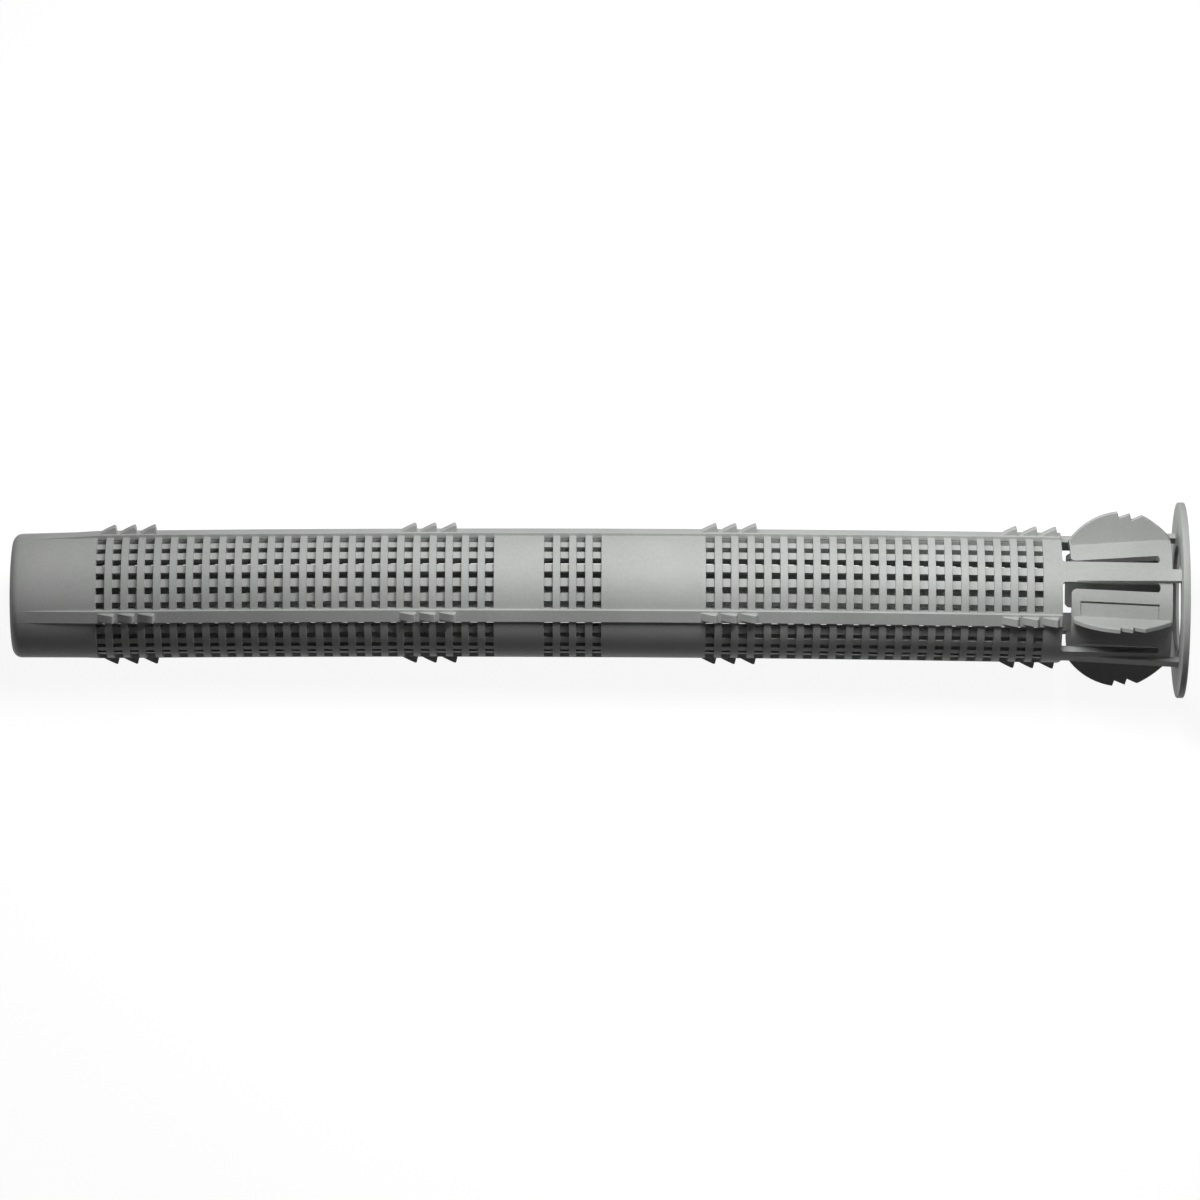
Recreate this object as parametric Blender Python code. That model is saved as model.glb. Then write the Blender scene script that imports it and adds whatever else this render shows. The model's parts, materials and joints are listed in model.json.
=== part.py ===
"""Injection mesh sleeve: one plastic moulding that holds mortar and a threaded rod in hollow masonry.

A thin tube, closed at its tip, is pierced by fields of small windows between plain bands.
Four ribs run along it and carry barbs in groups of three. At the mouth a short collar ring
carries four tongues, cut free on three sides and set inwards towards the bore; a saw-toothed
fin stands on each. The rod pushes the tongues out and their fins bite into the wall of the hole.
Four struts cross the gap from the collar to a thin flange, which stops at the face of the wall.

Sizes are in metres. A station is a distance from the flange's outer face towards the tip.
The sleeve lies along X with its tip at -X, and rests on the flange's rim and on its tip.
"""

import math

import bmesh
import bpy
from mathutils import Matrix, Vector

MM = 0.001

# Tube
LENGTH = 130.0 * MM
BODY_RADIUS = 7.2 * MM
BODY_DRAFT = 0.18 * MM
CAP_DRAFT = 0.08 * MM
TIP_ROUNDING = 1.0 * MM
TIP_STEPS = 3
WALL = 0.75 * MM
TIP_WALL = 1.0 * MM
QUARTERS = 4

# Windows, in three fields between plain bands; each field spreads its columns evenly
QUARTER_WINDOWS = 3
WINDOW_SPACING = 2.7 * MM
WINDOW_LENGTH = 1.425 * MM
WINDOW_MARGIN = 0.19 * MM
END_RING = 2.135 * MM
NEAR_FIELD = 37.2 * MM
WIDE_BAND = 11.565 * MM
MIDDLE_FIELD = 6.3 * MM
NARROW_BAND = 5.57 * MM
CAP_LENGTH = 9.545 * MM

# Ribs and barbs
RIB_WIDTH = 1.46 * MM
RIB_HEIGHT = 0.3 * MM
RIB_RUNOUT = 0.05 * MM
BARB_HEIGHT = 1.1 * MM
BARB_WIDTH = 0.95 * MM
BARB_LENGTH = 2.1 * MM
BARB_CREST = 0.2 * MM
BARB_LEAN = 0.25 * MM
BARB_RUNOUT = 0.08 * MM
BARB_PITCH = 2.2 * MM
BARBS_IN_GROUP = 3
BARB_GROUP_SPACING = 33.25 * MM
FIRST_BARB_INSET = 0.3 * MM

# Mouth: flange, collar ring and struts
FLANGE_OVERHANG = 3.7 * MM
FLANGE_THICKNESS = 0.75 * MM
FLANGE_EDGE = 0.1 * MM
FLANGE_SIDES = 48
MOUTH_INSET = 1.2 * MM
MOUTH_CHAMFER = 0.35 * MM
COLLAR_GAP = 0.95 * MM
COLLAR_LENGTH = 1.35 * MM
STRUT_WIDTH = 1.45 * MM
STRUT_RISE = 0.5 * MM
STRUT_DEPTH = 0.15 * MM
STRUT_INSET = 1.5 * MM
STRUT_OFFSET = 0.45 * MM

# Tongues and fins
TONGUE_LENGTH = 9.75 * MM
TONGUE_END_GAP = 1.0 * MM
TONGUE_SET_IN = 0.8 * MM
TONGUE_CORNER = 0.6 * MM
TONGUE_CORNER_STEPS = 3
SLOT_ARC_STEPS = 4
TONGUE_HALF_ANGLE = math.radians(26.8)
STRAP_HALF_ANGLE = math.radians(9.9)
SLIT_WIDTH = 0.25 * MM
SLIT_LENGTH = 8.7 * MM
SLIT_INSET = 0.1 * MM
SLIT_ANGLE = math.radians(15.2)
FIN_THICKNESS = 0.55 * MM
FIN_HEIGHT = 3.15 * MM
FIN_END_HEIGHT = 0.09 * MM
FIN_ARC_TOP_FROM_ROOT = 3.55 * MM
FIN_ARC_STEPS = 6
FIN_TEETH = 3
FIN_TIP_FROM_ROOT = 4.6 * MM
FIN_TOOTH_PITCH = 1.4 * MM
FIN_TOOTH_DEPTH = 0.72 * MM
FIN_TOOTH_STEP = 0.23 * MM
FIN_TOOTH_LEAN = 0.22 * MM
FIN_END_INSET = 0.2 * MM
FIN_TAIL_INSET = 0.1 * MM
FIN_TAIL_HEIGHT = 0.35 * MM
FIN_BACK_BULGE = 0.2 * MM
FIN_BACK_STEPS = 2

# Working values: how far a cutter passes a wall, how deep a joined foot goes in, and tolerances
CUT_PAST = 0.9 * MM
FOOT = 0.35 * MM
SAME_POINT = 0.001 * MM
SHARP_EDGE = math.radians(20.0)

# Angles, radii and stations that follow from the sizes above
SIDES = 2 * QUARTERS * QUARTER_WINDOWS
FACET = math.tau / SIDES
QUARTER = math.tau / QUARTERS
FIRST_RIB = QUARTER / 2
CAP_RADIUS = BODY_RADIUS - BODY_DRAFT
TIP_RADIUS = CAP_RADIUS - CAP_DRAFT
FLANGE_RADIUS = BODY_RADIUS + FLANGE_OVERHANG
MOUTH_RADIUS = BODY_RADIUS - MOUTH_INSET
FIN_RADIUS = BODY_RADIUS + FIN_HEIGHT
FIN_TAIL_RADIUS = BODY_RADIUS + FIN_TAIL_HEIGHT
WINDOW_WIDTH = 2 * (CAP_RADIUS * math.sin(FACET / 2) - WINDOW_MARGIN)
COLLAR_START = FLANGE_THICKNESS + COLLAR_GAP
TONGUE_ROOT = COLLAR_START + COLLAR_LENGTH
TONGUE_END = TONGUE_ROOT + TONGUE_LENGTH
TUBE_START = TONGUE_END + TONGUE_END_GAP
CAP_START = LENGTH - CAP_LENGTH
TIP_EDGE = LENGTH - TIP_ROUNDING


def body_radius(station):
    """Outer radius of the tube: straight tapers from the collar to the cap and from the cap to the tip."""
    if station <= CAP_START:
        share = (station - COLLAR_START) / (CAP_START - COLLAR_START)
        return BODY_RADIUS + (CAP_RADIUS - BODY_RADIUS) * share
    share = (station - CAP_START) / (TIP_EDGE - CAP_START)
    return CAP_RADIUS + (TIP_RADIUS - CAP_RADIUS) * share


def tongue_set_in(station):
    """How far a tongue has come inwards at a station: nothing at its root, all of it at its free end."""
    return TONGUE_SET_IN * max(0.0, station - TONGUE_ROOT) / TONGUE_LENGTH


def at(station, radius, angle, across=0.0):
    """Point at a station and radius, the angle measured about the axis; across is along the tangent."""
    outwards = Vector((0.0, math.cos(angle), math.sin(angle)))
    tangent = Vector((0.0, -math.sin(angle), math.cos(angle)))
    return Vector((LENGTH / 2 - station, 0.0, 0.0)) + outwards * radius + tangent * across


def grey_plastic():
    """Light grey polyamide with the dull skin of a spark-eroded mould."""
    material = bpy.data.materials.new("grey_plastic")
    material.use_nodes = True
    shader = material.node_tree.nodes["Principled BSDF"]
    shader.inputs["Base Color"].default_value = (0.4, 0.41, 0.4, 1.0)
    shader.inputs["Roughness"].default_value = 0.5
    shader.inputs["Metallic"].default_value = 0.0
    return material


def new_object(name, shape, carrier, guide=True):
    """Object made from a finished bmesh; a guide only cuts or joins and is no piece of its own."""
    bmesh.ops.recalc_face_normals(shape, faces=shape.faces)
    mesh = bpy.data.meshes.new(name)
    shape.to_mesh(mesh)
    shape.free()
    mesh.shade_smooth()
    mesh.set_sharp_from_angle(angle=SHARP_EDGE)
    item = bpy.data.objects.new(name, mesh)
    bpy.context.scene.collection.objects.link(item)
    item.parent = carrier
    if guide:
        item.hide_render = True
        item.display_type = 'WIRE'
    return item


def turned(shape, profile, sides, facing=0.0):
    """Add a profile of (station, radius) points turned about the axis, one facet facing a given angle."""
    start = facing + math.pi / sides
    points = [shape.verts.new(at(station, radius, start)) for station, radius in profile]
    edges = [shape.edges.new(pair) for pair in zip(points, points[1:])]
    bmesh.ops.spin(shape, geom=points + edges, cent=(0.0, 0.0, 0.0), axis=(1.0, 0.0, 0.0),
                   angle=math.tau, steps=sides, use_duplicate=False)
    bmesh.ops.remove_doubles(shape, verts=shape.verts, dist=SAME_POINT)


def upright_plate(shape, outline, angle, width, offset=0.0):
    """Add a plate that stands on the tube: an outline of (station, radius) points, given its width."""
    face = shape.faces.new([shape.verts.new(at(*point, angle, offset - width / 2)) for point in outline])
    side = bmesh.ops.extrude_face_region(shape, geom=[face])
    moved = [item for item in side["geom"] if isinstance(item, bmesh.types.BMVert)]
    bmesh.ops.translate(shape, verts=moved, vec=at(0, 0, angle, width) - at(0, 0, angle))


def wall_cutter(shape, cells):
    """Add a cutter with radial sides through the tube's wall, from cells of (stations, angles)."""
    inner = CAP_RADIUS - WALL - CUT_PAST
    outer = BODY_RADIUS + RIB_HEIGHT + CUT_PAST
    faces = []
    for (start, stop), (low, high) in cells:
        corners = (at(start, inner, low), at(stop, inner, low), at(stop, inner, high), at(start, inner, high))
        faces.append(shape.faces.new([shape.verts.new(corner) for corner in corners]))
    bmesh.ops.remove_doubles(shape, verts=[v for face in faces for v in face.verts], dist=SAME_POINT)
    side = bmesh.ops.extrude_face_region(shape, geom=[face for face in faces if face.is_valid])
    moved = [item for item in side["geom"] if isinstance(item, bmesh.types.BMVert)]
    bmesh.ops.scale(shape, verts=moved, vec=(1.0, outer / inner, outer / inner))


def apply_boolean(target, tool, operation):
    """Cut the tool from the target, or join it on, with the exact solver."""
    modifier = target.modifiers.new(tool.name, 'BOOLEAN')
    modifier.operation = operation
    modifier.solver = 'EXACT'
    modifier.object = tool


def window_columns():
    """Centre stations of the window columns: two fields of fixed length, then one that ends at the cap."""
    near = TUBE_START + END_RING
    middle = near + NEAR_FIELD + WIDE_BAND
    far = middle + MIDDLE_FIELD + NARROW_BAND
    centres = []
    for start, stop in ((near, near + NEAR_FIELD), (middle, middle + MIDDLE_FIELD), (far, CAP_START)):
        span = stop - start - WINDOW_LENGTH
        gaps = round(span / WINDOW_SPACING)
        centres += [start + WINDOW_LENGTH / 2 + span * number / gaps for number in range(gaps + 1)]
    return centres


def rib_angles():
    """Angles of the four ribs, which are also those of the tongues and fins."""
    return [FIRST_RIB + quarter * QUARTER for quarter in range(QUARTERS)]


def tube_outside():
    """Outer profile of the tube from the collar ring to the rounded corner of its tip."""
    stations = (COLLAR_START, TONGUE_ROOT, TUBE_START, CAP_START, TIP_EDGE)
    profile = [(station, body_radius(station)) for station in stations]
    for step in range(1, TIP_STEPS + 1):
        turn = math.pi / 2 * step / TIP_STEPS
        radius = TIP_RADIUS - TIP_ROUNDING * (1 - math.cos(turn))
        profile.append((TIP_EDGE + TIP_ROUNDING * math.sin(turn), radius))
    return profile


def make_tube(carrier, plastic):
    """Closed tube from the collar ring to the tip, turned in one piece with its bore."""
    profile = [(LENGTH - TIP_WALL, 0.0),
               (LENGTH - TIP_WALL, TIP_RADIUS - WALL),
               (CAP_START, CAP_RADIUS - WALL)]
    for station in (TUBE_START, TONGUE_ROOT, COLLAR_START):
        profile.append((station, body_radius(station) - WALL))
    profile += tube_outside()
    profile.append((LENGTH, 0.0))
    shape = bmesh.new()
    turned(shape, profile, SIDES)
    tube = new_object("mesh_sleeve", shape, carrier, guide=False)
    tube.data.materials.append(plastic)
    return tube


def make_windows(carrier):
    """One small block for each window, on every second facet of the tube."""
    shape = bmesh.new()
    inner = CAP_RADIUS - WALL - CUT_PAST
    depth = BODY_RADIUS + CUT_PAST - inner
    for station in window_columns():
        for number in range(QUARTERS * QUARTER_WINDOWS):
            angle = FIRST_RIB + FACET * (2 * number + 1)
            turn = Matrix.Rotation(angle, 4, 'X')
            size = Matrix.Diagonal((WINDOW_LENGTH, depth, WINDOW_WIDTH, 1.0))
            place = Matrix.Translation(at(station, inner + depth / 2, angle))
            bmesh.ops.create_cube(shape, size=1.0, matrix=place @ turn @ size)
    return new_object("window_cutters", shape, carrier)


def make_ribs(carrier):
    """Flat-topped ribs from the end ring to the cap, where they run out into its surface."""
    start = TUBE_START - TONGUE_END_GAP / 2
    outline = [(start, body_radius(start) - FOOT),
               (start, body_radius(start) + RIB_HEIGHT),
               (CAP_START, CAP_RADIUS + RIB_HEIGHT),
               (TIP_EDGE, TIP_RADIUS - RIB_RUNOUT),
               (TIP_EDGE, TIP_RADIUS - FOOT)]
    shape = bmesh.new()
    for angle in rib_angles():
        upright_plate(shape, outline, angle, RIB_WIDTH)
    return new_object("ribs", shape, carrier)


def make_barbs(carrier):
    """Barbs on the ribs: a long ramp on the tip's side, a short crest and a steep face to the flange."""
    first = TUBE_START + FIRST_BARB_INSET
    group_length = (BARBS_IN_GROUP - 1) * BARB_PITCH + BARB_LENGTH
    groups = 1 + int((CAP_START - group_length - first) / BARB_GROUP_SPACING)
    shape = bmesh.new()
    for group in range(groups):
        for barb in range(BARBS_IN_GROUP):
            foot = first + group * BARB_GROUP_SPACING + barb * BARB_PITCH
            end = foot + BARB_LENGTH
            crest = foot + BARB_LEAN
            top = body_radius(foot) + BARB_HEIGHT
            rib_top = body_radius(end) + RIB_HEIGHT
            outline = [(foot, rib_top - FOOT), (crest, top), (crest + BARB_CREST, top),
                       (end, rib_top - BARB_RUNOUT), (end, rib_top - FOOT)]
            for angle in rib_angles():
                upright_plate(shape, outline, angle, BARB_WIDTH)
    return new_object("barbs", shape, carrier)


def lies_on_ray(edge, ray):
    """Whether an edge runs straight out from the axis along a ray, given by its point at unit radius."""
    for end in edge.verts:
        on_ray = Vector((ray.x, ray.y * end.co.yz.length, ray.z * end.co.yz.length))
        if (end.co - on_ray).length > SAME_POINT:
            return False
    return True


def make_tongue_slots(carrier):
    """A three-sided slot round each tongue, with the tongue's two free corners rounded."""
    shape = bmesh.new()
    edge = TONGUE_HALF_ANGLE
    strap = QUARTER / 2 - STRAP_HALF_ANGLE
    across = [edge * step / SLOT_ARC_STEPS for step in range(-SLOT_ARC_STEPS, SLOT_ARC_STEPS + 1)]
    for middle in rib_angles():
        cells = []
        for low, high in zip([-strap] + across, across + [strap]):
            angles = (middle + low, middle + high)
            cells.append(((TONGUE_END, TUBE_START), angles))
            if min(abs(low), abs(high)) >= edge:
                cells.append(((TONGUE_ROOT, TONGUE_END), angles))
        wall_cutter(shape, cells)
        rays = [at(TONGUE_END, 1.0, middle + side * edge) for side in (-1, 1)]
        corners = [item for item in shape.edges if any(lies_on_ray(item, ray) for ray in rays)]
        bmesh.ops.bevel(shape, geom=corners, offset=TONGUE_CORNER, segments=TONGUE_CORNER_STEPS,
                        profile=0.5, affect='EDGES')
    return new_object("tongue_slots", shape, carrier)


def make_slits(carrier):
    """The thin slit beside each fin, which lets the middle of the tongue give."""
    shape = bmesh.new()
    half = SLIT_WIDTH / BODY_RADIUS / 2
    start = TONGUE_ROOT + SLIT_INSET
    for middle in rib_angles():
        slit = middle - SLIT_ANGLE
        wall_cutter(shape, [((start, start + SLIT_LENGTH), (slit - half, slit + half))])
    return new_object("tongue_slits", shape, carrier)


def fin_outline():
    """Side view of a fin: a long arc rising from the free end, saw teeth, and a short back to the collar."""
    points = []
    start = TONGUE_END - FIN_END_INSET
    first_tip = TONGUE_ROOT + FIN_TIP_FROM_ROOT
    arc_top = TONGUE_ROOT + FIN_ARC_TOP_FROM_ROOT
    rise = FIN_HEIGHT - FIN_END_HEIGHT
    arc_radius = ((start - arc_top) ** 2 + rise ** 2) / (2 * rise)
    for step in range(FIN_ARC_STEPS):
        station = start + (first_tip - start) * step / FIN_ARC_STEPS
        drop = arc_radius - math.sqrt(arc_radius ** 2 - (station - arc_top) ** 2)
        points.append((station, FIN_RADIUS - drop))
    for tooth in range(FIN_TEETH):
        tip = first_tip - tooth * FIN_TOOTH_PITCH
        radius = FIN_RADIUS - tooth * FIN_TOOTH_STEP
        points.append((tip, radius))
        if tooth < FIN_TEETH - 1:
            points.append((tip - FIN_TOOTH_LEAN, radius - FIN_TOOTH_DEPTH))
    tail = COLLAR_START + FIN_TAIL_INSET
    tip, radius = points[-1]
    for step in range(1, FIN_BACK_STEPS + 1):
        share = step / FIN_BACK_STEPS
        bulge = FIN_BACK_BULGE * 4 * share * (1 - share)
        points.append((tip + (tail - tip) * share, radius + (FIN_TAIL_RADIUS - radius) * share + bulge))
    for station in (tail, TONGUE_ROOT, start):
        points.append((station, body_radius(station) - tongue_set_in(station) - FOOT))
    return points


def make_fins(carrier):
    """The saw-toothed fins that stand on the middle of the tongues."""
    shape = bmesh.new()
    for angle in rib_angles():
        upright_plate(shape, fin_outline(), angle, FIN_THICKNESS)
    return new_object("fins", shape, carrier)


def make_struts(carrier):
    """Struts that rise along one side of the straps between the tongues and cross to the flange."""
    start = FLANGE_THICKNESS / 2
    stop = TUBE_START - STRUT_INSET
    outline = [(stop, body_radius(stop) - STRUT_DEPTH), (stop, body_radius(stop)),
               (start, BODY_RADIUS + STRUT_RISE), (start, BODY_RADIUS - STRUT_DEPTH)]
    shape = bmesh.new()
    for quarter in range(QUARTERS):
        upright_plate(shape, outline, quarter * QUARTER, STRUT_WIDTH, STRUT_OFFSET)
    return new_object("struts", shape, carrier)


def flange_profile():
    """Section of the flange, its outer corners broken and its mouth chamfered towards the outside."""
    inside = FLANGE_RADIUS - FLANGE_EDGE
    return [(MOUTH_CHAMFER, MOUTH_RADIUS), (0.0, MOUTH_RADIUS + MOUTH_CHAMFER), (0.0, inside),
            (FLANGE_EDGE, FLANGE_RADIUS), (FLANGE_THICKNESS - FLANGE_EDGE, FLANGE_RADIUS),
            (FLANGE_THICKNESS, inside), (FLANGE_THICKNESS, MOUTH_RADIUS), (MOUTH_CHAMFER, MOUTH_RADIUS)]


def make_flange(carrier):
    """Thin round flange with the mouth of the bore in it."""
    shape = bmesh.new()
    turned(shape, flange_profile(), FLANGE_SIDES, facing=-math.pi / 2)
    return new_object("flange", shape, carrier)


def set_tongues_in(sleeve):
    """Keep the cut mesh as it is, then lean each tongue inwards about its root."""
    bpy.context.view_layer.update()
    graph = bpy.context.evaluated_depsgraph_get()
    mesh = bpy.data.meshes.new_from_object(sleeve.evaluated_get(graph))
    sleeve.modifiers.clear()
    sleeve.data = mesh
    limit = (TONGUE_HALF_ANGLE + QUARTER / 2 - STRAP_HALF_ANGLE) / 2
    middle_of_slot = (TONGUE_END + TUBE_START) / 2
    for vertex in mesh.vertices:
        station = LENGTH / 2 - vertex.co.x
        angle = math.atan2(vertex.co.z, vertex.co.y)
        for middle in rib_angles():
            off = abs((angle - middle + math.pi) % math.tau - math.pi)
            if off < limit and station < middle_of_slot:
                vertex.co -= at(0.0, tongue_set_in(station), middle) - at(0.0, 0.0, middle)


def rest_pose():
    """Tilt and place of the sleeve lying on the flange's rim and the tip, its box centred on the origin."""
    rim = [(station, radius * math.cos(math.pi / FLANGE_SIDES)) for station, radius in flange_profile()]
    tube = [(station, radius * math.cos(math.pi / SIDES)) for station, radius in tube_outside()]
    tilt = min(max(math.atan2(reach - depth, station - edge) for edge, reach in rim)
               for station, depth in tube)
    ends = []
    lifts = []
    for station, depth in rim + tube:
        along = LENGTH / 2 - station
        ends.append(along * math.cos(tilt) + depth * math.sin(tilt))
        ends.append(along * math.cos(tilt) - depth * math.sin(tilt))
        lifts.append(depth * math.cos(tilt) - along * math.sin(tilt))
    return tilt, Vector((-(min(ends) + max(ends)) / 2, 0.0, max(lifts)))


def build():
    """Model the sleeve: turn the tube, cut it, set its tongues in, then join what stands on it."""
    for item in list(bpy.data.objects):
        bpy.data.objects.remove(item, do_unlink=True)
    tilt, place = rest_pose()
    carrier = bpy.data.objects.new("sleeve_axis", None)
    bpy.context.scene.collection.objects.link(carrier)
    carrier.location = place
    carrier.rotation_euler = (0.0, -tilt, 0.0)
    sleeve = make_tube(carrier, grey_plastic())
    apply_boolean(sleeve, make_ribs(carrier), 'UNION')
    for cutter in (make_windows(carrier), make_tongue_slots(carrier), make_slits(carrier)):
        apply_boolean(sleeve, cutter, 'DIFFERENCE')
    set_tongues_in(sleeve)
    for piece in (make_barbs(carrier), make_fins(carrier), make_struts(carrier), make_flange(carrier)):
        apply_boolean(sleeve, piece, 'UNION')


build()
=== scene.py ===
"""Injection mesh sleeve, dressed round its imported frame.

Sizes are in metres. A station is a distance from the flange's outer face towards the closed tip,
and an angle is measured about the sleeve's own axis, from sideways (+Y) over the top. The sleeve
is bowed a little sideways between its two ends.
"""

import json
import math

import bpy
import numpy as np
from mathutils import Matrix, Vector


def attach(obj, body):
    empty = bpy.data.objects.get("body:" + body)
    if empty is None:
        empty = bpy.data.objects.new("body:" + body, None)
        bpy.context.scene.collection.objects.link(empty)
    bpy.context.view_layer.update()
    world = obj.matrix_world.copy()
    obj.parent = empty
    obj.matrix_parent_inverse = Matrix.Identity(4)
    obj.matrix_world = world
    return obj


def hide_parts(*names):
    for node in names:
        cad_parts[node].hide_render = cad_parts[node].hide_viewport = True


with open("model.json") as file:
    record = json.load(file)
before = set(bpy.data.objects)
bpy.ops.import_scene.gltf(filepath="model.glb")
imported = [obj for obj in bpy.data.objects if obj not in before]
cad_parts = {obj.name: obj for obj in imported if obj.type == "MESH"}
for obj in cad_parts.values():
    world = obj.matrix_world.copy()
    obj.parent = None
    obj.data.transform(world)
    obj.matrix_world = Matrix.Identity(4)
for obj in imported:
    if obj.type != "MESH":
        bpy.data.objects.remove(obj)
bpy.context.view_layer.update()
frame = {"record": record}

# The wall of the sleeve: one thin moulded tube of light grey polyamide. It runs from the collar
# ring, over straps and four tongues cut free on three sides, through fields of small windows
# between outer hoops and recessed bars, to the plain cap that closes its tip.

MM = 0.001
LENGTH = 130.0 * MM
BODY_RADIUS = 7.18 * MM
CAP_RADIUS = 7.0 * MM
TIP_RADIUS = 6.875 * MM
WALL = 0.75 * MM
TIP_ROUNDING = 1.0 * MM
TIP_STEPS = 7
INNER_ROUNDING = 0.6 * MM
COLLAR_START = 1.7 * MM
TUBE_START = 13.8 * MM
CAP_START = 120.5 * MM
TIP_EDGE = LENGTH - TIP_ROUNDING

TONGUE_ROOT = 3.05 * MM
TONGUE_END = 12.8 * MM
TONGUE_SET_IN = 0.8 * MM
TONGUE_CORNER = 0.6 * MM
TONGUE_EDGE = 26.8
STRAP_EDGE = 35.1
SLOT_CORNER = 0.35 * MM
SLIT_START = 3.15 * MM
SLIT_END = 11.85 * MM
SLIT_NEAR = -14.3
SLIT_FAR = -16.1
PANEL_EDGE = -2.2
PANEL_DEPTH = 0.04 * MM
PANEL_GROOVE = 0.14 * MM
PANEL_STEP = 0.07 * MM

NEAR_WINDOWS = 16.41 * MM + 1.8127 * MM * np.arange(21)
MIDDLE_WINDOWS = 65.18 * MM + 1.785 * MM * np.arange(4)
FAR_WINDOWS = 77.05 * MM + 1.789 * MM * np.arange(25)
WINDOW_HALF = 0.475 * MM
HOOP_EDGE = 0.03 * MM
BAR_RECESS = 0.38 * MM
BAR_INWARDS = 0.47 * MM
WINDOW_ANGLES = np.array([-37.9, -23.7, -9.5, 9.5, 23.7, 37.9])
WINDOW_HALF_ANGLE = 3.2
WINDOW_TAPER = 1.0

RIB_ANGLES = np.radians([45.0, 135.0, 225.0, 315.0])
BOW = 0.61 * MM
BOW_START = 0.75 * MM
SAME_PLACE = 0.001 * MM
SHARP_ANGLE = math.radians(32.0)

# Angles of the wall's grid lines within a quarter, from the middle of a rib: those along the
# windows, and those along the tongues, which they turn into across the plain end ring.
QUARTER_EDGE = 45.0
WINDOW_LINES = np.sort(np.r_[-QUARTER_EDGE, -30.8, -16.6, -3.1, 0.0, 3.1, 16.6, 30.8,
                             WINDOW_ANGLES, WINDOW_ANGLES - WINDOW_HALF_ANGLE,
                             WINDOW_ANGLES + WINDOW_HALF_ANGLE])
NECK_LINES = np.array([-QUARTER_EDGE, -42.0, -38.5, -STRAP_EDGE, -31.0, -TONGUE_EDGE, -23.5,
                       -20.5, -17.5, SLIT_FAR, SLIT_NEAR, -8.25, PANEL_EDGE, 0.0, 3.1, 6.3, 9.5,
                       12.7, 16.6, 20.5, 23.7, TONGUE_EDGE, 31.0, STRAP_EDGE, 38.5, 42.0])

mounts = {mount["name"]: mount for mount in frame["record"]["mounts"]}
TIP_POINT = np.array(mounts["tip_face"]["pos_m"])
TO_MOUTH = np.array(mounts["mouth_face"]["axis"])
SIDEWAYS = np.array([0.0, 1.0, 0.0])
UPWARDS = np.cross(TO_MOUTH, SIDEWAYS)


def outwards(angle):
    """Direction away from the axis: cosine of the angle sideways plus sine of it upwards."""
    angle = np.asarray(angle, float)[..., None]
    return np.cos(angle) * SIDEWAYS + np.sin(angle) * UPWARDS


def on_sleeve(station, radius, angle, across=0.0):
    """Points in the row frame: from the tip back along the axis by length less station, sideways
    by the moulding's slight bow, a parabola that is nought at the flange and at the tip, out by
    the radius at the angle, and across along the tangent there."""
    station, radius, angle, across = np.broadcast_arrays(station, radius, angle, across)
    tangent = outwards(angle + math.pi / 2)
    share = np.clip((station - BOW_START) / (LENGTH - BOW_START), 0.0, 1.0)
    bow = 4 * BOW * share * (1 - share)
    return (TIP_POINT + (LENGTH - station)[..., None] * TO_MOUTH + bow[..., None] * SIDEWAYS
            + radius[..., None] * outwards(angle) + across[..., None] * tangent)


def body_radius(station):
    """Outer radius: straight tapers from the collar to the cap and from the cap to the tip."""
    return np.interp(station, [COLLAR_START, CAP_START, TIP_EDGE],
                     [BODY_RADIUS, CAP_RADIUS, TIP_RADIUS])


def new_piece(name, points, faces, material):
    """Object at the origin from point rows and lists of face rows. Edges that turn by more than
    the sharp angle stay sharp."""
    mesh = bpy.data.meshes.new(name)
    mesh.from_pydata(points.tolist(), [], [row for block in faces for row in block.tolist()])
    mesh.validate()
    mesh.shade_smooth()
    mesh.set_sharp_from_angle(angle=SHARP_ANGLE)
    mesh.materials.append(material)
    piece = bpy.data.objects.new(name, mesh)
    bpy.context.scene.collection.objects.link(piece)
    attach(piece, "root")
    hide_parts("mesh_sleeve")


class Number:
    """A number socket of a material, on which + and * add Math nodes."""

    def __init__(self, finish, socket):
        self.finish = finish
        self.socket = socket

    def _math(self, operation, first, second):
        settings = {"operation": operation}
        return self.finish.node("ShaderNodeMath", settings, {0: first, 1: second}).number(0)

    def __add__(self, other):
        return self._math("ADD", self, other)

    def __radd__(self, other):
        return self._math("ADD", other, self)

    def __mul__(self, other):
        return self._math("MULTIPLY", self, other)

    def __rmul__(self, other):
        return self._math("MULTIPLY", other, self)


class Step:
    """A node that has been added, and its outputs as numbers or plain sockets."""

    def __init__(self, finish, node):
        self.finish = finish
        self.node = node

    def number(self, output):
        return Number(self.finish, self.node.outputs[output])

    def link(self, output):
        return self.node.outputs[output]


class Finish:
    """A material or world whose nodes are added one by one, settings first and then values or
    links."""

    def __init__(self, owner):
        owner.use_nodes = True
        self.tree = owner.node_tree
        self.tree.nodes.clear()

    def node(self, kind, settings=None, inputs=None):
        made = self.tree.nodes.new(kind)
        for key, value in (settings or {}).items():
            if key == "stops":
                for element, (place, colour) in zip(made.color_ramp.elements, value):
                    element.position = place
                    element.color = colour
            else:
                setattr(made, key, value)
        for key, value in (inputs or {}).items():
            socket = made.inputs[key]
            if isinstance(value, Number):
                self.tree.links.new(value.socket, socket)
            elif isinstance(value, bpy.types.NodeSocket):
                self.tree.links.new(value, socket)
            else:
                socket.default_value = value
        return Step(self, made)


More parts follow.
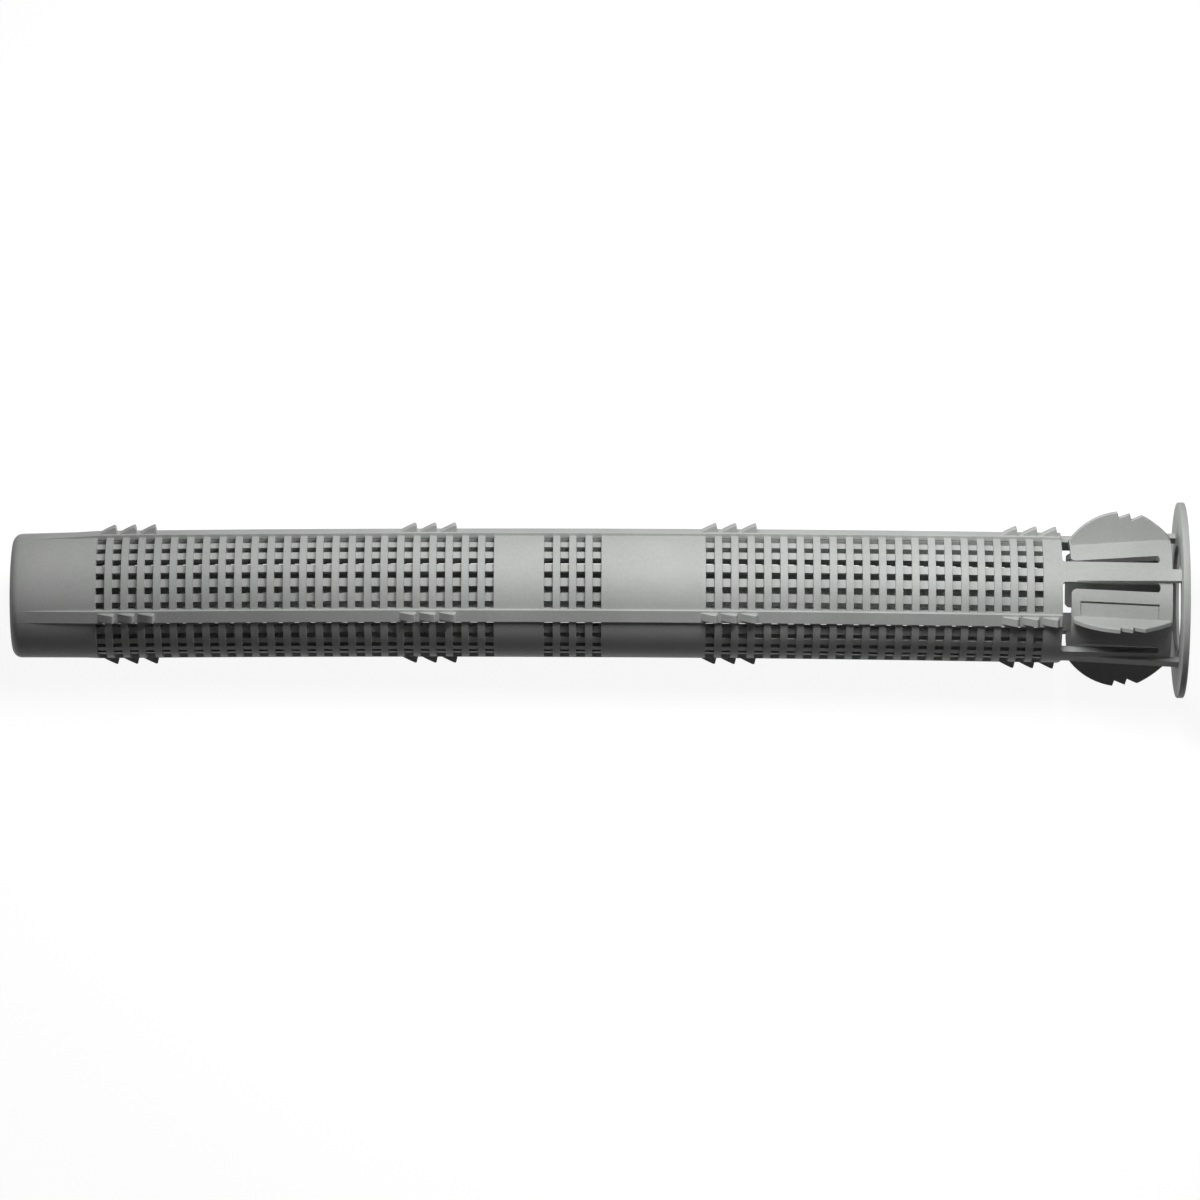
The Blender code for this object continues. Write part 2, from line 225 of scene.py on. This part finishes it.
# Features per metre, detail and roughness of the noises in the plastic, and then their shares in
# its colour, its bump and its roughness.
CLOUDS = (90.0, 3.0, 0.55)
GRAIN = (2600.0, 2.0, 0.6)
SKIN = (5200.0, 2.0, 0.5)
CLOUD_SHARE = 0.65
GRAIN_SHARE = 0.35
TONE_STOPS = [(0.32, (0.35, 0.36, 0.35, 1.0)), (0.68, (0.44, 0.45, 0.44, 1.0))]
CLOUD_SWELL = 0.6
SKIN_STRENGTH = 0.16
SKIN_DEPTH = 0.05 * MM
ROUGHNESS = 0.44
GRAIN_ROUGHNESS = 0.16
GLOSS = 0.22


def grey_polyamide():
    """Light grey polyamide: faint clouds and grain in its colour, and the mould's dull skin."""
    material = bpy.data.materials.new("grey_polyamide")
    finish = Finish(material)
    place = finish.node("ShaderNodeTexCoord").link("Object")
    clouds, grain, skin = [
        finish.node("ShaderNodeTexNoise", None,
                    {"Vector": place, "Scale": scale, "Detail": detail,
                     "Roughness": roughness}).number("Fac")
        for scale, detail, roughness in (CLOUDS, GRAIN, SKIN)]
    tone = clouds * CLOUD_SHARE + grain * GRAIN_SHARE
    colour = finish.node("ShaderNodeValToRGB", {"stops": TONE_STOPS}, {"Fac": tone}).link("Color")
    bump = finish.node("ShaderNodeBump", None,
                       {"Height": skin + clouds * CLOUD_SWELL, "Strength": SKIN_STRENGTH,
                        "Distance": SKIN_DEPTH}).link("Normal")
    shader = finish.node("ShaderNodeBsdfPrincipled", None,
                         {"Base Color": colour, "Roughness": ROUGHNESS + grain * GRAIN_ROUGHNESS,
                          "Normal": bump, "Specular IOR Level": GLOSS}).link("BSDF")
    finish.node("ShaderNodeOutputMaterial", None, {"Surface": shader})
    return material


plastic = grey_polyamide()

# Rows of the wall's grid that no edge gives: along a tongue, before a rounded corner as shares of
# its radius, past the end ring's edge, and along the cap.
TONGUE_ROWS = np.array([6.0, 9.0]) * MM
CORNER_ROWS = np.array([1.0, 0.62, 0.3, 0.08, 0.0])
PAST_RING_EDGE = 0.8 * MM
CAP_ROWS = np.array([125.0, 127.5]) * MM


def wall_rows():
    """Grid rows along the wall, as station, radius and recess of the outer face and station and
    radius of the inner one: neck edges, four rows round each window column, cap, rounded tip."""
    neck = np.r_[COLLAR_START, TONGUE_ROOT, SLIT_START, SLIT_START + PANEL_STEP,
                 SLIT_START + 2 * PANEL_STEP, TONGUE_ROOT + SLOT_CORNER, TONGUE_ROWS,
                 SLIT_END - 2 * PANEL_STEP, SLIT_END - PANEL_STEP, SLIT_END,
                 TONGUE_END - TONGUE_CORNER * CORNER_ROWS, TUBE_START - SLOT_CORNER * CORNER_ROWS,
                 TUBE_START + PAST_RING_EDGE]
    centres = np.r_[NEAR_WINDOWS, MIDDLE_WINDOWS, FAR_WINDOWS]
    offsets = np.array([-WINDOW_HALF - HOOP_EDGE, -WINDOW_HALF,
                        WINDOW_HALF, WINDOW_HALF + HOOP_EDGE])
    windows = (centres[:, None] + offsets).ravel()
    recessed = np.tile([0.0, 1.0, 1.0, 0.0], len(centres))
    cap = np.r_[CAP_START, CAP_ROWS]
    turn = np.linspace(0.0, math.pi / 2, TIP_STEPS)
    outer = np.r_[neck, windows, cap, TIP_EDGE + TIP_ROUNDING * np.sin(turn)]
    radius = body_radius(outer)
    radius[-TIP_STEPS:] = TIP_RADIUS - TIP_ROUNDING * (1 - np.cos(turn))
    recess = np.r_[np.zeros(len(neck)), recessed, np.zeros(len(cap) + TIP_STEPS)] * BAR_RECESS
    inner = outer.copy()
    inner_end = TIP_EDGE - INNER_ROUNDING
    inner[-TIP_STEPS:] = inner_end + INNER_ROUNDING * np.sin(turn)
    inner_radius = body_radius(inner) - WALL
    inner_radius[-TIP_STEPS:] = TIP_RADIUS - WALL - INNER_ROUNDING * (1 - np.cos(turn))
    return outer, radius, recess, inner, inner_radius


def corner_pull(distance, radius):
    """Degrees by which an edge is drawn round a corner of the radius, at a distance before it: the
    radius less the chord's height there, and nothing beyond the corner itself."""
    past = np.clip(1 - distance / radius, 0.0, 1.0)
    past[distance < -SAME_PLACE] = 0.0
    return np.degrees(radius * (1 - np.sqrt(1 - past ** 2)) / BODY_RADIUS)


def wall_grid():
    """Outer and inner points of the wall, and which of its cells are solid. Every quarter's lines
    follow the windows or the tongues. A tongue is sheared inwards along its own middle direction,
    by its set-in times the share of its length, and its free corners are pulled in on a circle."""
    outer, radius, recess, inner, inner_radius = wall_rows()
    in_neck = outer <= TUBE_START + SAME_PLACE
    lines = np.where(in_neck[:, None], NECK_LINES, WINDOW_LINES)
    root = corner_pull(outer - TONGUE_ROOT, SLOT_CORNER)
    free_end = corner_pull(TONGUE_END - outer, TONGUE_CORNER)
    slot_end = corner_pull(TUBE_START - outer, SLOT_CORNER)
    tongue_edge = np.isclose(np.abs(NECK_LINES), TONGUE_EDGE)
    strap_edge = np.isclose(np.abs(NECK_LINES), STRAP_EDGE)
    pull = (root - free_end)[:, None] * tongue_edge - (root + slot_end)[:, None] * strap_edge
    lines = lines + np.where(in_neck[:, None], np.sign(NECK_LINES) * pull, 0.0)

    share = np.clip((outer - TONGUE_ROOT) / (TONGUE_END - TONGUE_ROOT), 0.0, 1.0)
    on_tongue = (outer <= TONGUE_END + SAME_PLACE)[:, None] & (np.abs(NECK_LINES) <= TONGUE_EDGE)
    set_in = on_tongue * share[:, None] * TONGUE_SET_IN
    from_end = np.minimum(outer - SLIT_START, SLIT_END - outer)
    panel = np.interp(from_end, [0.0, PANEL_STEP, 2 * PANEL_STEP],
                      [0.0, PANEL_GROOVE, PANEL_DEPTH])
    on_panel = (NECK_LINES >= SLIT_NEAR) & (NECK_LINES <= PANEL_EDGE)
    sunk = recess[:, None] + panel[:, None] * on_panel
    nearest = WINDOW_ANGLES[np.abs(WINDOW_LINES[:, None] - WINDOW_ANGLES).argmin(axis=1)]
    from_middle = WINDOW_LINES - nearest
    past_edge = np.abs(from_middle) > WINDOW_HALF_ANGLE / 2
    at_edge = np.isclose(np.abs(from_middle), WINDOW_HALF_ANGLE)
    widening = np.sign(from_middle) * at_edge * WINDOW_TAPER
    first_edge = NEAR_WINDOWS[0] - WINDOW_HALF - HOOP_EDGE
    in_fields = (outer > first_edge - SAME_PLACE) & (outer < CAP_START - SAME_PLACE)
    inwards_bar = BAR_INWARDS * (in_fields[:, None] & past_edge)

    rows, columns = lines.shape
    angles = RIB_ANGLES[None, :, None] + np.radians(lines)[:, None, :]
    inner_lines = lines + (recess > 0)[:, None] * widening
    inner_angles = RIB_ANGLES[None, :, None] + np.radians(inner_lines)[:, None, :]
    inwards = outwards(RIB_ANGLES)[None, :, None, :] * set_in[:, None, :, None]
    outside_radius = radius[:, None, None] - sunk[:, None, :]
    outside = on_sleeve(outer[:, None, None], outside_radius, angles) - inwards
    inside_radius = inner_radius[:, None, None] - inwards_bar[:, None, :]
    inside = on_sleeve(inner[:, None, None], inside_radius, inner_angles) - inwards

    middle = (outer[1:] + outer[:-1]) / 2
    centre = (NECK_LINES + np.r_[NECK_LINES[1:], QUARTER_EDGE]) / 2
    slot = ((middle > TONGUE_ROOT) & (middle < TUBE_START))[:, None] & \
        (np.abs(centre) > TONGUE_EDGE) & (np.abs(centre) < STRAP_EDGE)
    end_slot = ((middle > TONGUE_END) & (middle < TUBE_START))[:, None] & \
        (np.abs(centre) < STRAP_EDGE)
    slit = ((middle > SLIT_START) & (middle < SLIT_END))[:, None] & \
        (centre > SLIT_FAR) & (centre < SLIT_NEAR)
    centre = (WINDOW_LINES + np.r_[WINDOW_LINES[1:], QUARTER_EDGE]) / 2
    in_window = np.abs(centre[:, None] - WINDOW_ANGLES).min(axis=1) < WINDOW_HALF_ANGLE
    window_row = (recess[1:] > 0) & (recess[:-1] > 0)
    solid = ~(slot | end_slot | slit | (window_row[:, None] & in_window))
    quarters = len(RIB_ANGLES)
    shape = (rows, quarters * columns, 3)
    return outside.reshape(shape), inside.reshape(shape), np.tile(solid, (1, quarters))


def wall_faces(solid):
    """Faces of a closed wall on a grid that wraps round: the outer and inner face of every solid
    cell, a side face wherever a solid cell meets an open one or the first row, and fans at the
    tip."""
    rows, columns = solid.shape[0] + 1, solid.shape[1]
    number = np.arange(rows * columns).reshape(rows, columns)
    right = np.roll(number, -1, axis=1)
    inner = rows * columns
    a, b, c, d = number[:-1][solid], number[1:][solid], right[1:][solid], right[:-1][solid]
    faces = [np.stack([a, b, c, d], axis=1), np.stack([d, c, b, a], axis=1) + inner]
    above = np.vstack([np.zeros((1, columns), bool), solid[:-1]])
    for wanted, ahead in ((solid & ~above, True), (~solid & above, False)):
        p, q = number[:-1][wanted], right[:-1][wanted]
        side = np.stack([p, q, q + inner, p + inner], axis=1)
        faces.append(side if ahead else side[:, ::-1])
    before = np.roll(solid, 1, axis=1)
    for wanted, ahead in ((solid & ~before, True), (~solid & before, False)):
        p, q = number[:-1][wanted], number[1:][wanted]
        side = np.stack([q, p, p + inner, q + inner], axis=1)
        faces.append(side if ahead else side[:, ::-1])
    last, following = number[-1], right[-1]
    pole = np.full(columns, 2 * inner)
    faces.append(np.stack([last, pole, following], axis=1))
    faces.append(np.stack([following + inner, pole + 1, last + inner], axis=1))
    return faces


outside, inside, solid = wall_grid()
poles = np.stack([outside[-1].mean(axis=0), inside[-1].mean(axis=0)])
grid_points = np.vstack([outside.reshape(-1, 3), inside.reshape(-1, 3), poles])
grid_faces = wall_faces(solid)
used = np.unique(np.concatenate([block.ravel() for block in grid_faces]))
used_faces = [np.searchsorted(used, block) for block in grid_faces]
new_piece("sleeve_wall", grid_points[used], used_faces, plastic)

# Ribs: four flat-topped ribs, moulded on the wall from the end ring to the cap, where they run
# out. They stiffen the sleeve and carry its barbs.

RIB_WIDTH = 1.46 * MM
RIB_HEIGHT = 0.3 * MM
RIB_RUNOUT = 0.05 * MM
RIB_ROUNDING = 0.06 * MM
FOOT = 0.35 * MM
RIB_STATIONS = np.r_[TUBE_START, TUBE_START + RIB_ROUNDING, np.linspace(20.0, 115.0, 20) * MM,
                     CAP_START, TIP_EDGE]


def joined_rings(points):
    """Points as one list, and the faces of rings joined in their order, with both ends closed."""
    number = np.arange(points.shape[0] * points.shape[1]).reshape(points.shape[:2])
    right = np.roll(number, -1, axis=1)
    sides = np.stack([number[:-1], number[1:], right[1:], right[:-1]], axis=-1).reshape(-1, 4)
    return points.reshape(-1, 3), [sides, number[:1], number[-1:, ::-1]]


def rib(angle):
    """Points and faces of a rib: a section of eight points, its edges broken, carried along the
    wall. It is drawn in at its start, and from the cap's start on its top sinks into the wall."""
    drawn_in = np.r_[RIB_ROUNDING, np.zeros(len(RIB_STATIONS) - 1)]
    height = np.r_[np.full(len(RIB_STATIONS) - 1, RIB_HEIGHT), -RIB_RUNOUT]
    foot = body_radius(RIB_STATIONS) - FOOT + drawn_in
    top = body_radius(RIB_STATIONS) + height - drawn_in
    outer = RIB_WIDTH / 2 - drawn_in
    inner = outer - RIB_ROUNDING
    low, high = foot + RIB_ROUNDING, top - RIB_ROUNDING
    radius = np.stack([foot, low, high, top, top, high, low, foot], axis=1)
    across = np.stack([-inner, -outer, -outer, -inner, inner, outer, outer, inner], axis=1)
    return joined_rings(on_sleeve(RIB_STATIONS[:, None], radius, angle, across))


def gather(parts):
    """Joins the points and faces of several like parts into one mesh's."""
    points, faces, start = [], [], 0
    for own_points, own_faces in parts:
        points.append(own_points)
        faces += [block + start for block in own_faces]
        start += len(own_points)
    return np.vstack(points), faces


rib_points, rib_faces = gather([rib(angle) for angle in RIB_ANGLES])
new_piece("ribs", rib_points, rib_faces, plastic)

# Barbs: small teeth in groups of three on each rib, with a long ramp towards the tip and a steep
# face towards the flange, so that the sleeve slides into its hole and doesn't slide out.

BARB_HEIGHT = 1.1 * MM
BARB_WIDTH = 0.95 * MM
BARB_LENGTH = 2.12 * MM
BARB_CREST = 0.18 * MM
BARB_LEAN = 0.25 * MM
BARB_PITCH = 2.2 * MM
BARB_GROUP_SPACING = 33.25 * MM
BARB_GROUPS = 4
BARBS_IN_GROUP = 3
BARB_START = 14.1 * MM
BARB_ROUNDING = 0.06 * MM
BARB_TIP_DROP = 0.06 * MM
BARB_TIP_BACK = 0.03 * MM
BARB_TIP_AHEAD = 0.05 * MM
BARB_RAMP_SINK = 0.08 * MM
BARB_RAMP_FULLNESS = 0.12 * MM
BARB_RAMP_SHARES = np.array([0.0, 0.3, 0.65, 1.0])
SHARPEST_MITRE = 0.35


def plate(outline, angle, width, rounding, offset=0.0):
    """Points and faces of a plate standing on the sleeve: a closed outline of (station, radius)
    rows carried across its width in four steps, the outer two drawn in to break its edges."""
    outline = np.asarray(outline, float)
    ahead = np.roll(outline, -1, axis=0)
    if np.sum(outline[:, 0] * ahead[:, 1] - ahead[:, 0] * outline[:, 1]) < 0:
        outline = outline[::-1]
        ahead = np.roll(outline, -1, axis=0)
    along = (ahead - outline) / np.linalg.norm(ahead - outline, axis=1)[:, None]
    normal = np.stack([-along[:, 1], along[:, 0]], axis=1)
    mitre = normal + np.roll(normal, 1, axis=0)
    mitre /= np.maximum(np.sum(mitre * normal, axis=1), SHARPEST_MITRE)[:, None]
    drawn_in = outline + mitre * rounding
    rings = np.stack([drawn_in, outline, outline, drawn_in])
    across = (offset + np.array([-0.5, -0.5, 0.5, 0.5]) * width
              + np.array([0.0, rounding, -rounding, 0.0]))
    return joined_rings(on_sleeve(rings[..., 0], rings[..., 1], angle, across[:, None]))


def barb_outline(foot):
    """Side view of one barb: up its steep face, over its crest and down its slightly full ramp."""
    rib_top = body_radius(foot + BARB_LENGTH) + RIB_HEIGHT
    barb_top = body_radius(foot) + BARB_HEIGHT
    crest = foot + BARB_LEAN
    ramp_run = BARB_LENGTH - BARB_LEAN - BARB_CREST
    ramp_rise = rib_top - BARB_RAMP_SINK - barb_top
    fullness = BARB_RAMP_FULLNESS * BARB_RAMP_SHARES * (1 - BARB_RAMP_SHARES)
    ramp = np.stack([crest + BARB_CREST + ramp_run * BARB_RAMP_SHARES,
                     barb_top + ramp_rise * BARB_RAMP_SHARES + fullness], axis=1)
    steep_face = [[foot, rib_top - FOOT],
                  [crest - BARB_TIP_BACK, barb_top - BARB_TIP_DROP],
                  [crest + BARB_TIP_AHEAD, barb_top]]
    return np.vstack([steep_face, ramp, [[foot + BARB_LENGTH, rib_top - FOOT]]])


barb_feet = (BARB_START + BARB_GROUP_SPACING * np.arange(BARB_GROUPS)[:, None]
             + BARB_PITCH * np.arange(BARBS_IN_GROUP))
barb_points, barb_faces = gather([plate(barb_outline(foot), angle, BARB_WIDTH, BARB_ROUNDING)
                                  for foot in barb_feet.ravel() for angle in RIB_ANGLES])
new_piece("barbs", barb_points, barb_faces, plastic)

# Fins: a thin saw-toothed plate stands on the middle of each tongue and leans in with it. The rod
# pushes the tongues out, and the teeth bite into the wall of the hole.

FIN_THICKNESS = 0.55 * MM
FIN_ROUNDING = 0.07 * MM
FIN_RADIUS = 10.35 * MM
FIN_ARC_RADIUS = 7.41 * MM
FIN_ARC_TOP = 6.6 * MM
FIN_FIRST_TIP = 7.65 * MM
FIN_TOOTH_PITCH = 1.4 * MM
FIN_TOOTH_DEPTH = 0.72 * MM
FIN_TOOTH_STEP = 0.23 * MM
FIN_TOOTH_LEAN = 0.22 * MM
FIN_START = 12.6 * MM
FIN_TAIL = 1.8 * MM
FIN_TAIL_RADIUS = 7.53 * MM
FIN_BACK_BULGE = 0.2 * MM
FIN_TEETH = 3
FIN_LAST_RUN = 0.25 * MM
FIN_LAST_DROP = 0.06 * MM
FIN_ARC_STEPS = 15
FIN_BACK_STEPS = 6


def fin_outline():
    """Side view of a fin: an arc of a circle from its free end, saw teeth with ramps towards the
    flange, a full curve down to the collar, and a foot that follows the leaning tongue."""
    station = np.linspace(FIN_START, FIN_FIRST_TIP, FIN_ARC_STEPS)
    rise = np.sqrt(FIN_ARC_RADIUS ** 2 - (station - FIN_ARC_TOP) ** 2)
    arc = FIN_RADIUS - FIN_ARC_RADIUS + rise
    tips = FIN_FIRST_TIP - FIN_TOOTH_PITCH * np.arange(FIN_TEETH)
    heights = FIN_RADIUS - FIN_TOOTH_STEP * np.arange(FIN_TEETH)
    teeth = np.array([[tips[0] - FIN_TOOTH_LEAN, heights[0] - FIN_TOOTH_DEPTH],
                      [tips[1], heights[1]],
                      [tips[1] - FIN_TOOTH_LEAN, heights[1] - FIN_TOOTH_DEPTH],
                      [tips[2] + FIN_LAST_RUN, heights[2] - FIN_LAST_DROP],
                      [tips[2], heights[2]]])
    share = np.linspace(0.0, 1.0, FIN_BACK_STEPS + 1)[1:]
    back = np.stack([tips[2] + (FIN_TAIL - tips[2]) * share,
                     heights[2] + (FIN_TAIL_RADIUS - heights[2]) * share
                     + 4 * FIN_BACK_BULGE * share * (1 - share)], axis=1)
    foot = np.array([FIN_TAIL, TONGUE_ROOT, FIN_START])
    lean = TONGUE_SET_IN * np.clip((foot - TONGUE_ROOT) / (TONGUE_END - TONGUE_ROOT), 0.0, 1.0)
    return np.vstack([np.stack([station, arc], axis=1), teeth, back,
                      np.stack([foot, body_radius(foot) - lean - FOOT], axis=1)])


fin_points, fin_faces = gather([plate(fin_outline(), angle, FIN_THICKNESS, FIN_ROUNDING)
                                for angle in RIB_ANGLES])
new_piece("fins", fin_points, fin_faces, plastic)

# Struts: a narrow strip rises along one side of each strap between the tongues and crosses the
# open gap from the collar ring to the flange, which it carries.

STRUT_WIDTH = 1.45 * MM
STRUT_END = 12.3 * MM
STRUT_START = 0.375 * MM
STRUT_RISE = 0.5 * MM
STRUT_DEPTH = 0.15 * MM
STRUT_OFFSET = 0.45 * MM
STRUT_ROUNDING = 0.05 * MM
STRUT_END_RISE = 0.01 * MM

strut_outline = [[STRUT_END, body_radius(STRUT_END) - STRUT_DEPTH],
                 [STRUT_END, body_radius(STRUT_END) + STRUT_END_RISE],
                 [STRUT_START, BODY_RADIUS + STRUT_RISE],
                 [STRUT_START, BODY_RADIUS - STRUT_DEPTH]]
strut_points, strut_faces = gather([
    plate(strut_outline, angle, STRUT_WIDTH, STRUT_ROUNDING, STRUT_OFFSET)
    for angle in RIB_ANGLES - math.pi / 4])
new_piece("struts", strut_points, strut_faces, plastic)

# Flange: the thin round disc that stops at the face of the wall, moulded on the ends of the
# struts. The mouth of the bore is in it, and its edges are rounded, but for the mouth's chamfer.

FLANGE_RADIUS = 10.876 * MM
FLANGE_THICKNESS = 0.75 * MM
FLANGE_ROUNDING = 0.11 * MM
MOUTH_RADIUS = 6.0 * MM
MOUTH_CHAMFER = 0.35 * MM
FLANGE_STEPS = 192
FLANGE_CORNER_POINTS = 4


def flange_ring():
    """A section of (station, radius) points with a quarter circle at each corner, but a chamfer at
    the mouth's outer edge, carried round."""
    turn = np.linspace(0.0, math.pi / 2, FLANGE_CORNER_POINTS)
    high, far = FLANGE_THICKNESS - FLANGE_ROUNDING, FLANGE_RADIUS - FLANGE_ROUNDING
    low, near = FLANGE_ROUNDING, MOUTH_RADIUS + FLANGE_ROUNDING
    corners = [np.stack([station + FLANGE_ROUNDING * np.cos(start - turn),
                         radius + FLANGE_ROUNDING * np.sin(start - turn)], axis=1)
               for station, radius, start in ((low, far, math.pi), (high, far, math.pi / 2),
                                              (high, near, 0.0))]
    chamfer = [[MOUTH_CHAMFER, MOUTH_RADIUS], [0.0, MOUTH_RADIUS + MOUTH_CHAMFER]]
    section = np.vstack([chamfer] + corners)
    angle = np.linspace(0.0, math.tau, FLANGE_STEPS, endpoint=False)
    points = on_sleeve(section[None, :, 0], section[None, :, 1], angle[:, None])
    number = np.arange(FLANGE_STEPS * len(section)).reshape(FLANGE_STEPS, len(section))
    right, up = np.roll(number, -1, axis=0), np.roll(number, -1, axis=1)
    both = np.roll(right, -1, axis=1)
    return points.reshape(-1, 3), [np.stack([number, up, both, right], axis=-1).reshape(-1, 4)]


flange_points, flange_faces = flange_ring()
new_piece("flange", flange_points, flange_faces, plastic)

# Floor: a plain pale table top. It shows white to the camera and keeps a soft shadow, and it
# throws little light back, so that the sleeve's underside stays dark.

FLOOR_SIZE = 6.0
FLOOR_GLOW = 0.92
FLOOR_LIT = (0.17, 0.17, 0.17, 1.0)
FLOOR_DULL = (0.06, 0.06, 0.06, 1.0)
WHITE = (1.0, 1.0, 1.0, 1.0)


def shows_background(finish):
    """Mask of the rays that see the pale surroundings: the camera's own, and those that come off a
    gloss or through a clear piece."""
    ray = finish.node("ShaderNodeLightPath")
    seen = ray.number("Is Camera Ray") + ray.number("Is Glossy Ray")
    return seen + ray.number("Is Transmission Ray")


def pale_floor():
    """White as the camera sees it, part of it lit so that shadows show, and dull to all else."""
    material = bpy.data.materials.new("pale_floor")
    finish = Finish(material)
    glow = finish.node("ShaderNodeEmission", None,
                       {"Color": WHITE, "Strength": FLOOR_GLOW}).link(0)
    lit = finish.node("ShaderNodeBsdfDiffuse", None, {"Color": FLOOR_LIT}).link(0)
    both = finish.node("ShaderNodeAddShader", None, {0: glow, 1: lit}).link(0)
    dull = finish.node("ShaderNodeBsdfDiffuse", None, {"Color": FLOOR_DULL}).link(0)
    mixed = finish.node("ShaderNodeMixShader", None,
                        {0: shows_background(finish), 1: dull, 2: both}).link(0)
    finish.node("ShaderNodeOutputMaterial", None, {"Surface": mixed})
    return material


floor_mesh = bpy.data.meshes.new("floor")
half = FLOOR_SIZE / 2
floor_corners = [(-half, -half, 0.0), (half, -half, 0.0), (half, half, 0.0), (-half, half, 0.0)]
floor_mesh.from_pydata(floor_corners, [], [(0, 1, 2, 3)])
floor_mesh.materials.append(pale_floor())
floor = bpy.data.objects.new("floor", floor_mesh)
bpy.context.scene.collection.objects.link(floor)

# Camera: far off with a long lens, square to the sleeve's axis and 65 degrees above the horizon,
# turned by about a fifth of a degree, so that the axis falls a little towards the flange.

VIEW_ANGLE = math.radians(114.5)
CAMERA_DISTANCE = 0.8338
LENS = 225.0
SENSOR_WIDTH = 36.0
NEAREST = 0.05
FARTHEST = 20.0
PHOTO_PIXELS = 1200
ROLL = math.radians(0.223)
AXIS_ABOVE_CENTRE = 7.03
SLEEVE_LEFT_OF_CENTRE = 1.5

back = outwards(VIEW_ANGLE)
level_up = np.cross(back, TO_MOUTH)
camera_right = math.cos(ROLL) * TO_MOUTH + math.sin(ROLL) * level_up
camera_up = np.cross(back, camera_right)
metres_per_pixel = CAMERA_DISTANCE * SENSOR_WIDTH / LENS / PHOTO_PIXELS
middle = on_sleeve(LENGTH / 2, 0.0, 0.0) + metres_per_pixel * (
    SLEEVE_LEFT_OF_CENTRE * camera_right - AXIS_ABOVE_CENTRE * camera_up)
camera_data = bpy.data.cameras.new("camera")
camera_data.lens = LENS
camera_data.sensor_width = SENSOR_WIDTH
camera_data.clip_start = NEAREST
camera_data.clip_end = FARTHEST
camera = bpy.data.objects.new("camera", camera_data)
bpy.context.scene.collection.objects.link(camera)
turn_to_view = Matrix(np.stack([camera_right, camera_up, back], axis=1).tolist()).to_4x4()
camera.matrix_world = Matrix.Translation(Vector(middle + CAMERA_DISTANCE * back)) @ turn_to_view
bpy.context.scene.camera = camera

# Light: a soft key lamp close above and behind the flange's half, a weaker one lower behind the
# tip's half, and two far ones that face the sleeve's ends. The room itself adds very little.

KEY_TURN = math.radians(35.5)
FAR_TURN = math.radians(48.5)
AMBIENT = 0.005


def soft_lamp(name, away, along, distance, size, level):
    """Square lamp that faces the sleeve's axis from the direction away. At a level of 1 a surface
    square to it shows its own colour: the power is pi squared times the distance squared."""
    data = bpy.data.lights.new(name, "AREA")
    data.size = size
    data.energy = level * math.pi ** 2 * distance ** 2
    lamp = bpy.data.objects.new(name, data)
    bpy.context.scene.collection.objects.link(lamp)
    lamp.location = Vector(on_sleeve(LENGTH / 2 - along, 0.0, 0.0) + away * distance)
    lamp.rotation_mode = "QUATERNION"
    lamp.rotation_quaternion = Vector(away).to_track_quat("Z", "Y")
    lamp.visible_camera = False


soft_lamp("key_lamp", outwards(VIEW_ANGLE - KEY_TURN),
          along=0.038, distance=0.096, size=0.04, level=0.975)
soft_lamp("far_lamp", outwards(VIEW_ANGLE - FAR_TURN),
          along=-0.0275, distance=0.1, size=0.05, level=0.545)
soft_lamp("mouth_lamp", TO_MOUTH, along=LENGTH / 2, distance=0.4, size=0.08, level=0.6)
soft_lamp("tip_lamp", -TO_MOUTH, along=-LENGTH / 2, distance=0.4, size=0.08, level=0.3)

world = bpy.data.worlds.new("studio")
bpy.context.scene.world = world
room = Finish(world)
backdrop = room.node("ShaderNodeBackground", None, {"Color": WHITE, "Strength": 1.0}).link(0)
ambient = room.node("ShaderNodeBackground", None, {"Color": WHITE, "Strength": AMBIENT}).link(0)
sky = room.node("ShaderNodeMixShader", None,
                {0: shows_background(room), 1: ambient, 2: backdrop}).link(0)
room.node("ShaderNodeOutputWorld", None, {"Surface": sky})

bpy.context.scene.view_settings.view_transform = "Standard"
